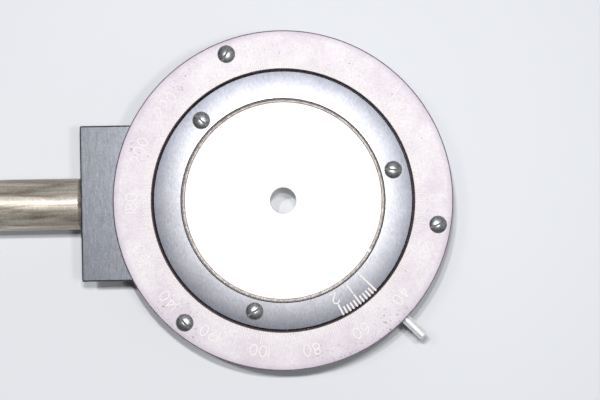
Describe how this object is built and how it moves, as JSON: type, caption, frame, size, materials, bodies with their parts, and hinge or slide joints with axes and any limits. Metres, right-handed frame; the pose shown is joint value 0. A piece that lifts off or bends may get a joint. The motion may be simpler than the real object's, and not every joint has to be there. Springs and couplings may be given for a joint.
{
  "type": "rotation stage",
  "caption": "Round rotation stage for a round optic: a lever turns a barrel with a vernier ring inside a fixed degree circle, held by a post at its side.",
  "frame": {"origin": "on the axis of rotation, in the plane of the back face", "axes": "+Z along the axis of rotation towards the reader of the scale, +X from the post towards the zero of the degree circle"},
  "size_m": [0.167, 0.0826, 0.0324],
  "materials": {
    "black_anodise": "black anodised, satin",
    "faded_anodise": "anodised, dye faded to a pale lilac, fine turned",
    "vernier_anodise": "anodised, dye worn to blue-grey, turned",
    "block_anodise": "dark blue-grey anodised over a brushed grain",
    "white_plastic": "matt white",
    "bronze": "machined bearing bronze",
    "spring_steel": "browned spring steel",
    "screw_steel": "darkened steel",
    "bright_steel": "bright turned steel",
    "tarnished_steel": "drawn steel, tarnished brown"
  },
  "bodies": {
    "stage_body": {"housing": "black_anodise", "journal_bush": "bronze", "front_thrust_washer": "bronze", "dial_ring": "faded_anodise", "dial_ring_screws": "screw_steel", "rear_cover": "black_anodise", "rear_cover_screws": "screw_steel", "mounting_block": "block_anodise", "block_screws": "screw_steel", "block_dowels": "bright_steel", "post": "tarnished_steel", "post_stud": "screw_steel"},
    "rotor": {"rotor_barrel": "black_anodise", "vernier_ring": "vernier_anodise", "vernier_ring_screws": "screw_steel", "target_disc": "white_plastic", "disc_retaining_wire": "spring_steel", "lever_pin": "bright_steel", "rear_thrust_washer": "bronze", "drag_spring_washer": "spring_steel", "rotor_lock_ring": "black_anodise", "lock_ring_grub_screw": "screw_steel"}
  },
  "joints": [
    {"name": "rotor_turn", "type": "hinge", "parent": "stage_body", "child": "rotor", "pos_m": [0, 0, 0.0145], "axis": [0, 0, 1], "range_deg": [-55, 145]}
  ]
}
